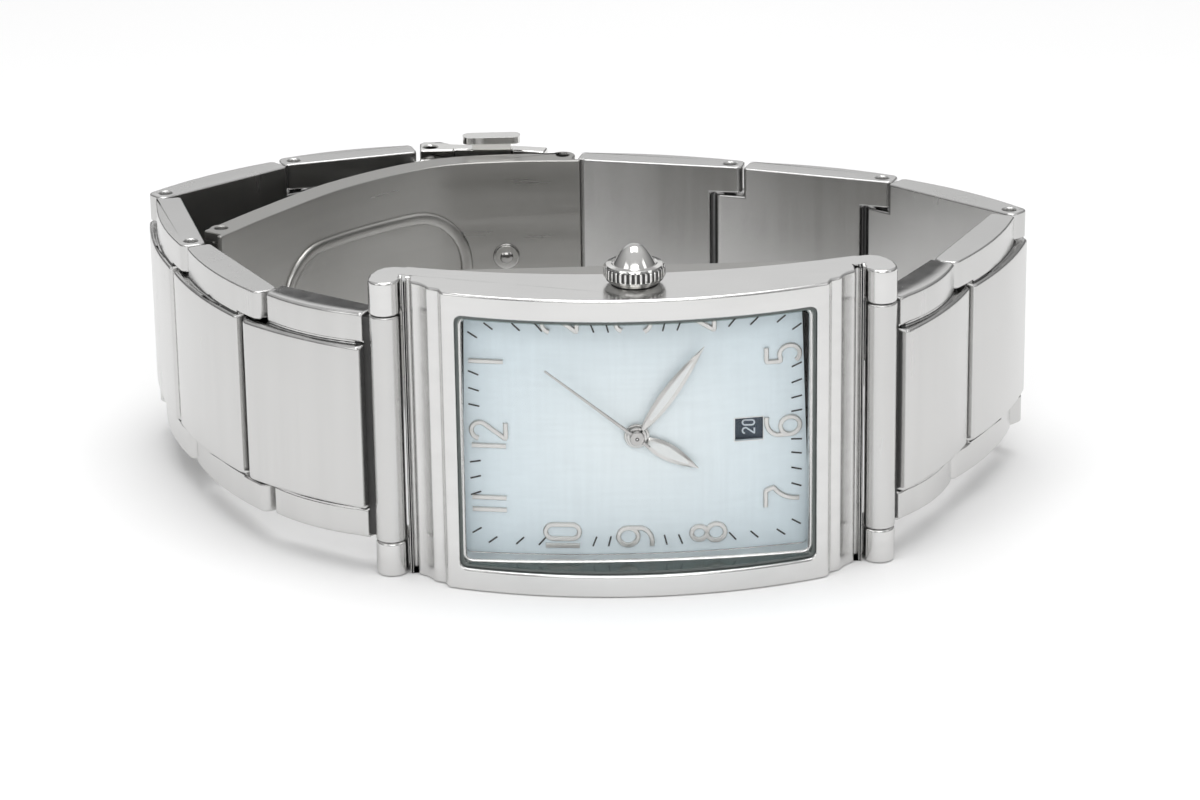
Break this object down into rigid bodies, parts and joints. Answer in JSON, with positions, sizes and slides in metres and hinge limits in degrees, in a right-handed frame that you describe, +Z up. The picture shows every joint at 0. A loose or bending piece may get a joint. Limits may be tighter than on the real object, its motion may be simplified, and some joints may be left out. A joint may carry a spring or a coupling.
{
  "type": "rectangular wristwatch",
  "caption": "Rectangular steel wristwatch with a curved crystal, three hands, date window, fluted crown, link bracelet and a folding clasp released by push buttons.",
  "frame": {"origin": "the middle of the case side that the watch stands on, in the plane through the two bracelet bars", "axes": "+X from 12 o'clock to 6 o'clock, +Y from the dial towards the clasp, +Z up through the crown"},
  "size_m": [0.0783, 0.0571, 0.0296],
  "materials": {
    "polished_steel": "polished stainless steel with satin parts",
    "satin_steel": "satin stainless steel",
    "plain_steel": "plain turned steel",
    "hand_steel": "polished steel round a pale inset",
    "pinion_steel": "plain",
    "battery_steel": "plain nickel-coloured",
    "brass": "fine grained",
    "dial_lacquer": "pale blue with fine lines",
    "date_lacquer": "matt dark blue",
    "rubber_seal": "matt",
    "holder_plastic": "matt",
    "crystal": "clear and polished"
  },
  "bodies": {
    "head": {"case_middle": "polished_steel", "case_back": "satin_steel", "back_screw_1": "plain_steel", "back_screw_2": "plain_steel", "back_screw_3": "plain_steel", "back_screw_4": "plain_steel", "back_gasket": "rubber_seal", "crystal": "crystal", "crystal_gasket": "rubber_seal", "dial": "dial_lacquer", "movement_holder": "holder_plastic", "movement_plate": "brass", "battery": "battery_steel", "crown_tube": "plain_steel", "left_spring_bar": "plain_steel", "right_spring_bar": "plain_steel"},
    "date_wheel": {"date_disc": "date_lacquer"},
    "hours": {"hour_hand": "hand_steel", "hour_wheel": "brass"},
    "minutes": {"minute_hand": "hand_steel", "cannon_pinion": "pinion_steel"},
    "seconds": {"second_hand": "hand_steel", "seconds_pinion": "pinion_steel"},
    "crown_slide": {"setting_lever": "plain_steel"},
    "crown_turn": {"crown": "polished_steel", "winding_stem": "plain_steel", "crown_gasket": "rubber_seal"},
    "left_end_link": {"left_end_link": "polished_steel"},
    "left_link_2": {"left_link_2": "polished_steel", "left_link_pin_1": "plain_steel"},
    "left_link_3": {"left_link_3": "polished_steel", "left_link_pin_2": "plain_steel"},
    "left_link_4": {"left_link_4": "polished_steel", "left_link_pin_3": "plain_steel"},
    "left_link_5": {"left_link_5": "polished_steel", "left_link_pin_4": "plain_steel", "cover_pin": "plain_steel"},
    "right_end_link": {"right_end_link": "polished_steel"},
    "right_link_2": {"right_link_2": "polished_steel", "right_link_pin_1": "plain_steel"},
    "right_link_3": {"right_link_3": "polished_steel", "right_link_pin_2": "plain_steel"},
    "right_link_4": {"right_link_4": "polished_steel", "right_link_pin_3": "plain_steel"},
    "right_link_5": {"right_link_5": "polished_steel", "right_link_pin_4": "plain_steel"},
    "inner_blade": {"inner_blade": "satin_steel", "latch_post": "satin_steel", "inner_blade_pin": "plain_steel", "blade_fold_pin": "plain_steel"},
    "middle_blade": {"middle_blade": "satin_steel"},
    "clasp_cover": {"clasp_cover": "polished_steel", "cover_fold_pin": "plain_steel"},
    "upper_push_button": {"upper_push_button": "polished_steel"},
    "lower_push_button": {"lower_push_button": "polished_steel"}
  },
  "joints": [
    {"name": "minute_turn", "type": "hinge", "parent": "head", "child": "minutes", "pos_m": [0, 0, 0.01311], "axis": [0, 1, 0], "continuous": true},
    {"name": "hour_turn", "type": "hinge", "parent": "head", "child": "hours", "pos_m": [0, 0, 0.01311], "axis": [0, 1, 0], "continuous": true},
    {"name": "second_turn", "type": "hinge", "parent": "head", "child": "seconds", "pos_m": [0, 0, 0.01311], "axis": [0, 1, 0], "continuous": true},
    {"name": "date_turn", "type": "hinge", "parent": "head", "child": "date_wheel", "pos_m": [0, 0, 0.01311], "axis": [0, 1, 0], "continuous": true},
    {"name": "crown_pull", "type": "slide", "parent": "head", "child": "crown_slide", "axis": [0, 0, 1], "range_m": [0, 0.0012]},
    {"name": "crown_turn_joint", "type": "hinge", "parent": "crown_slide", "child": "crown_turn", "pos_m": [0, -0.0027, 0.01311], "axis": [0, 0, 1], "continuous": true},
    {"name": "left_end_link_joint", "type": "hinge", "parent": "head", "child": "left_end_link", "pos_m": [-0.02066, 0, 0.01311], "axis": [0, 0, 1], "range_deg": [0, 31.09]},
    {"name": "left_link_2_joint", "type": "hinge", "parent": "left_end_link", "child": "left_link_2", "pos_m": [-0.03129, 0.008, 0.01311], "axis": [0, 0, 1], "range_deg": [0, 24.45]},
    {"name": "left_link_3_joint", "type": "hinge", "parent": "left_link_2", "child": "left_link_3", "pos_m": [-0.0378, 0.02107, 0.01311], "axis": [0, 0, 1], "range_deg": [0, 13.65]},
    {"name": "left_link_4_joint", "type": "hinge", "parent": "left_link_3", "child": "left_link_4", "pos_m": [-0.04084, 0.03535, 0.01311], "axis": [0, 0, 1], "range_deg": [0, 15]},
    {"name": "left_link_5_joint", "type": "hinge", "parent": "left_link_4", "child": "left_link_5", "pos_m": [-0.02949, 0.04454, 0.01311], "axis": [0, 0, 1], "range_deg": [-12.6, 0]},
    {"name": "right_end_link_joint", "type": "hinge", "parent": "head", "child": "right_end_link", "pos_m": [0.02066, 0, 0.01311], "axis": [0, 0, -1], "range_deg": [-3.86, 0]},
    {"name": "right_link_2_joint", "type": "hinge", "parent": "right_end_link", "child": "right_link_2", "pos_m": [0.02781, 0.01122, 0.01311], "axis": [0, 0, -1], "range_deg": [-15.6, 0]},
    {"name": "right_link_3_joint", "type": "hinge", "parent": "right_link_2", "child": "right_link_3", "pos_m": [0.03458, 0.02416, 0.01311], "axis": [0, 0, -1], "range_deg": [-12.6, 0]},
    {"name": "right_link_4_joint", "type": "hinge", "parent": "right_link_3", "child": "right_link_4", "pos_m": [0.02432, 0.03455, 0.01311], "axis": [0, 0, -1], "range_deg": [0, 5.3]},
    {"name": "right_link_5_joint", "type": "hinge", "parent": "right_link_4", "child": "right_link_5", "pos_m": [0.01083, 0.04014, 0.01311], "axis": [0, 0, -1], "range_deg": [0, 6.6]},
    {"name": "inner_blade_joint", "type": "hinge", "parent": "right_link_5", "child": "inner_blade", "pos_m": [-0.0045, 0.04413, 0.01311], "axis": [0, 0, 1], "range_deg": [-25.5, 0]},
    {"name": "clasp_unfold", "type": "hinge", "parent": "inner_blade", "child": "middle_blade", "pos_m": [-0.0353, 0.0245, 0.01311], "axis": [0, 0, 1], "range_deg": [0, 90]},
    {"name": "cover_joint", "type": "hinge", "parent": "middle_blade", "child": "clasp_cover", "pos_m": [-0.01707, 0.04515, 0.01311], "axis": [0, 0, 1], "range_deg": [-12.93, 0]},
    {"name": "upper_button_press", "type": "slide", "parent": "clasp_cover", "child": "upper_push_button", "axis": [0, 0, -1], "range_m": [0, 0.0008], "stiffness_N_per_m": 900},
    {"name": "lower_button_press", "type": "slide", "parent": "clasp_cover", "child": "lower_push_button", "axis": [0, 0, 1], "range_m": [0, 0.0008], "stiffness_N_per_m": 900}
  ],
  "couplings": [
    {"joint": "hour_turn", "follows": "minute_turn", "ratio": 0.083333},
    {"joint": "left_end_link_joint", "follows": "clasp_unfold", "ratio": 0.33878},
    {"joint": "left_link_2_joint", "follows": "clasp_unfold", "ratio": 0.265},
    {"joint": "left_link_3_joint", "follows": "clasp_unfold", "ratio": 0.145},
    {"joint": "left_link_4_joint", "follows": "clasp_unfold", "ratio": 0.16},
    {"joint": "left_link_5_joint", "follows": "clasp_unfold", "ratio": -0.13333},
    {"joint": "right_end_link_joint", "follows": "clasp_unfold", "ratio": -0.036222},
    {"joint": "right_link_2_joint", "follows": "clasp_unfold", "ratio": -0.16667},
    {"joint": "right_link_3_joint", "follows": "clasp_unfold", "ratio": -0.13333},
    {"joint": "right_link_4_joint", "follows": "clasp_unfold", "ratio": 0.052222},
    {"joint": "right_link_5_joint", "follows": "clasp_unfold", "ratio": 0.066667},
    {"joint": "inner_blade_joint", "follows": "clasp_unfold", "ratio": -0.27667},
    {"joint": "cover_joint", "follows": "clasp_unfold", "ratio": -0.137}
  ]
}
